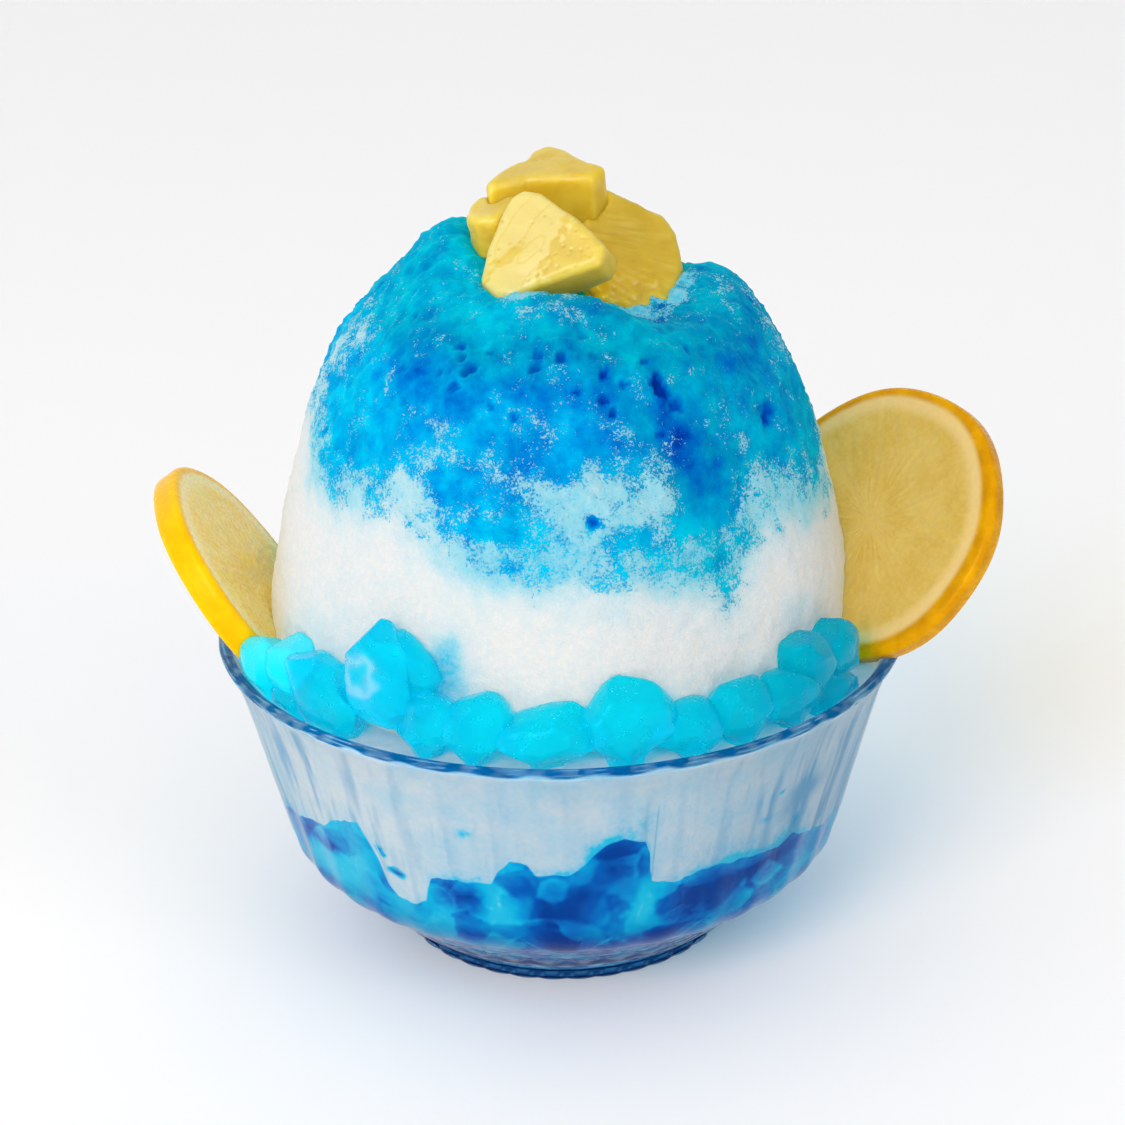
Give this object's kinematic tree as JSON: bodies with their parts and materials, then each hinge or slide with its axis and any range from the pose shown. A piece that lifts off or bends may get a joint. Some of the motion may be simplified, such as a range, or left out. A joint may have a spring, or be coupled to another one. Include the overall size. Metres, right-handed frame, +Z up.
{
  "type": "kakigori",
  "caption": "Mound of shaved ice with blue syrup in a pressed-glass bowl, ringed with blue jelly and topped with pineapple, with lemon slices at its sides.",
  "frame": {"origin": "centre of the bowl's flat underside, where it rests", "axes": "+Z up, -Y towards the front, +X to the right, along the line of the lemon slices"},
  "size_m": [0.1832, 0.1504, 0.1746],
  "materials": {
    "glass": "clear pressed glass with soft flutes",
    "shaved_ice": "fluffy shaved ice, stained blue by syrup on top",
    "syrup_ice": "wet crushed ice and jelly in blue syrup",
    "jelly": "soft translucent jelly",
    "lemon": "sliced lemon with wet flesh",
    "pineapple": "wet pineapple chunk"
  },
  "bodies": {
    "root": {"bowl": "glass", "syrup_base": "syrup_ice", "shaved_ice": "shaved_ice", "jelly_01": "jelly", "jelly_02": "jelly", "jelly_03": "jelly", "jelly_04": "jelly", "jelly_05": "jelly", "jelly_06": "jelly", "jelly_07": "jelly", "jelly_08": "jelly", "jelly_09": "jelly", "jelly_10": "jelly", "jelly_11": "jelly", "jelly_12": "jelly", "jelly_13": "jelly", "jelly_14": "jelly", "jelly_15": "jelly", "jelly_16": "jelly", "jelly_17": "jelly", "jelly_18": "jelly", "jelly_19": "jelly", "jelly_20": "jelly", "jelly_21": "jelly", "jelly_22": "jelly", "jelly_23": "jelly", "jelly_24": "jelly", "jelly_25": "jelly", "jelly_26": "jelly", "jelly_27": "jelly", "jelly_28": "jelly", "jelly_29": "jelly", "lemon_left": "lemon", "lemon_right": "lemon", "pineapple_front": "pineapple", "pineapple_back": "pineapple", "pineapple_right": "pineapple", "pineapple_left": "pineapple"}
  },
  "joints": []
}
